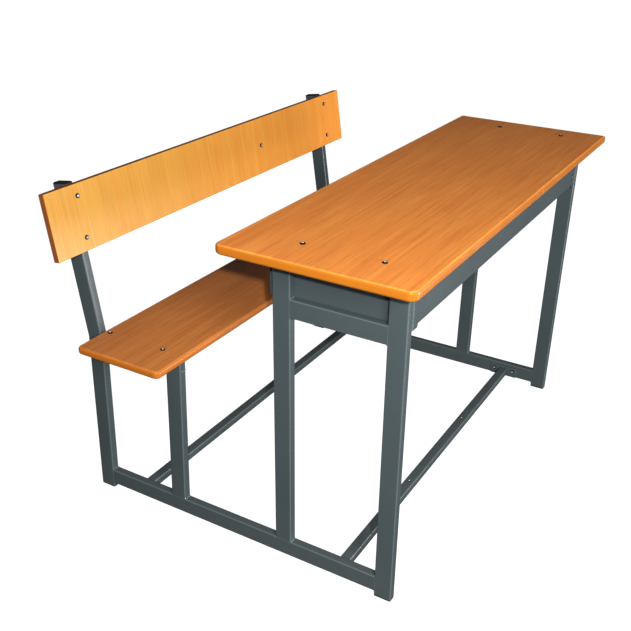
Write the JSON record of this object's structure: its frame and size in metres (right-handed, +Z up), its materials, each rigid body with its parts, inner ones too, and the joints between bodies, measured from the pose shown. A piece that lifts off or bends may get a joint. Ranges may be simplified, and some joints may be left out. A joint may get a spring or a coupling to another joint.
{
  "type": "double school desk with bench",
  "caption": "School desk for pupils side by side: a wooden desktop over an open book box, joined by welded tube end frames to a wooden bench with a leaning backboard.",
  "frame": {"origin": "on the floor, under the middle of the whole desk", "axes": "+X along the desk, +Y from the desktop towards the bench, +Z up"},
  "size_m": [1.208, 0.8928, 0.7773],
  "materials": {
    "frame_paint": "semi-gloss blue-grey powder coat",
    "desk_wood": "smooth orange-brown wood laminate with fine grain along the desk",
    "seat_wood": "smooth darker orange-brown laminate with grain along the seat",
    "back_wood": "smooth yellow-orange laminate with streaks across the board",
    "black_plastic": "moulded black plastic",
    "bolt_steel": "bright zinc-plated steel"
  },
  "bodies": {
    "root": {"desktop": "desk_wood", "seat": "seat_wood", "backboard": "back_wood", "book_tray": "frame_paint", "left_book_end": "frame_paint", "right_book_end": "frame_paint", "left_front_leg": "frame_paint", "left_mid_leg": "frame_paint", "left_seat_leg": "frame_paint", "left_rear_post": "frame_paint", "left_bottom_rail": "frame_paint", "left_cross_rail": "frame_paint", "left_desk_rail": "frame_paint", "left_seat_rail": "frame_paint", "right_front_leg": "frame_paint", "right_mid_leg": "frame_paint", "right_seat_leg": "frame_paint", "right_rear_post": "frame_paint", "right_bottom_rail": "frame_paint", "right_cross_rail": "frame_paint", "right_desk_rail": "frame_paint", "right_seat_rail": "frame_paint", "front_stretcher": "frame_paint", "rear_stretcher": "frame_paint", "front_plate_left": "frame_paint", "front_plate_right": "frame_paint", "rear_plate_left": "frame_paint", "rear_plate_right": "frame_paint", "left_front_foot": "black_plastic", "left_rear_foot": "black_plastic", "left_post_cap": "black_plastic", "right_front_foot": "black_plastic", "right_rear_foot": "black_plastic", "right_post_cap": "black_plastic", "desktop_bolt_left_front": "bolt_steel", "desktop_bolt_left_rear": "bolt_steel", "desktop_bolt_right_front": "bolt_steel", "desktop_bolt_right_rear": "bolt_steel", "seat_bolt_left_front": "bolt_steel", "seat_bolt_left_rear": "bolt_steel", "seat_bolt_right_front": "bolt_steel", "seat_bolt_right_rear": "bolt_steel", "backboard_bolt_left_low": "bolt_steel", "backboard_bolt_left_high": "bolt_steel", "backboard_bolt_right_low": "bolt_steel", "backboard_bolt_right_high": "bolt_steel", "backboard_bolt_middle": "bolt_steel", "plate_bolt_left_front_near": "bolt_steel", "plate_bolt_left_front_far": "bolt_steel", "plate_bolt_left_rear_near": "bolt_steel", "plate_bolt_left_rear_far": "bolt_steel", "plate_bolt_right_front_near": "bolt_steel", "plate_bolt_right_front_far": "bolt_steel", "plate_bolt_right_rear_near": "bolt_steel", "plate_bolt_right_rear_far": "bolt_steel"}
  },
  "joints": []
}
